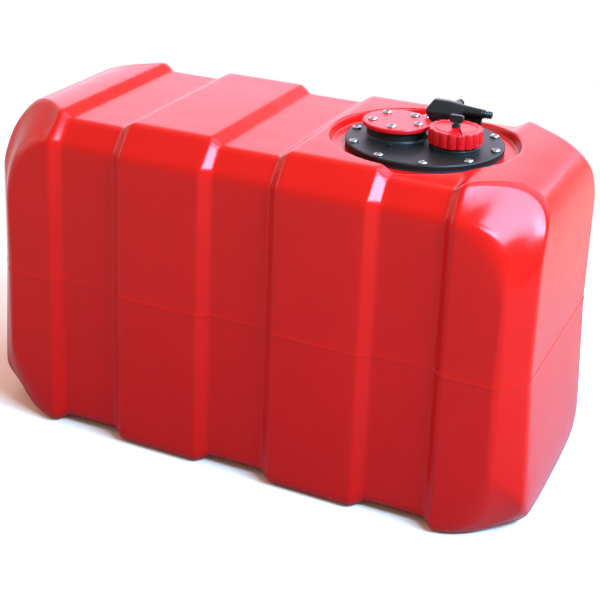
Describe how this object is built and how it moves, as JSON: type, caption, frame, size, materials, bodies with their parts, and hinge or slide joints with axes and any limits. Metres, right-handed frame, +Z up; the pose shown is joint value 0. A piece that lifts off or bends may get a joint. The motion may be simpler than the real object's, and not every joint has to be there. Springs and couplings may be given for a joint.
{
  "type": "fixed fuel tank",
  "caption": "Blow-moulded red tank with chamfered edges and stiffening recesses; a round black flange carries a screw filler cap, a blanking cover and a hose pick-up head.",
  "frame": {"origin": "under the middle of the tank, on the plane that it stands on", "axes": "+Z up, +X along the tank towards the end with the flange, -Y the front face"},
  "size_m": [0.668, 0.3018, 0.4264],
  "materials": {
    "tank_red": "satin, very fine moulded grain",
    "cap_red": "glossy",
    "flange_black": "satin, as moulded",
    "head_black": "semi-gloss",
    "seal_rubber": "matt",
    "stainless": "bright",
    "brass": "turned",
    "tube_grey": "drawn tube",
    "strainer_white": "natural nylon"
  },
  "bodies": {
    "tank": {"tank_body": "tank_red", "backing_ring": "stainless", "flange_gasket": "seal_rubber", "fittings_flange": "flange_black", "flange_screws": "stainless", "thread_inserts": "brass", "cover_gasket": "seal_rubber", "sender_cover": "cap_red", "cover_screws": "stainless", "head_seal": "seal_rubber", "pickup_head": "head_black", "feed_hose_tail": "head_black", "return_hose_tail": "head_black", "lock_nut": "flange_black", "suction_tube": "tube_grey", "strainer": "strainer_white"},
    "cap_carrier": {"cap_seal": "seal_rubber"},
    "cap": {"filler_cap": "cap_red"},
    "vent_carrier": {"vent_seal": "seal_rubber"},
    "vent": {"vent_screw": "flange_black", "vent_clip": "stainless"}
  },
  "joints": [
    {"name": "cap_lift", "type": "slide", "parent": "tank", "child": "cap_carrier", "axis": [0, 0, 1], "range_m": [0, 0.015]},
    {"name": "cap_turn", "type": "hinge", "parent": "cap_carrier", "child": "cap", "pos_m": [0.1936, -0.01, 0.4], "axis": [0, 0, 1], "range_deg": [0, 1080]},
    {"name": "vent_lift", "type": "slide", "parent": "cap", "child": "vent_carrier", "axis": [0, 0, 1], "range_m": [0, 0.003]},
    {"name": "vent_turn", "type": "hinge", "parent": "vent_carrier", "child": "vent", "pos_m": [0.1936, -0.01, 0.41], "axis": [0, 0, 1], "range_deg": [0, 720]}
  ],
  "couplings": [
    {"joint": "cap_lift", "follows": "cap_turn", "m_per_rad": 0.000795},
    {"joint": "vent_lift", "follows": "vent_turn", "m_per_rad": 0.0002387}
  ]
}
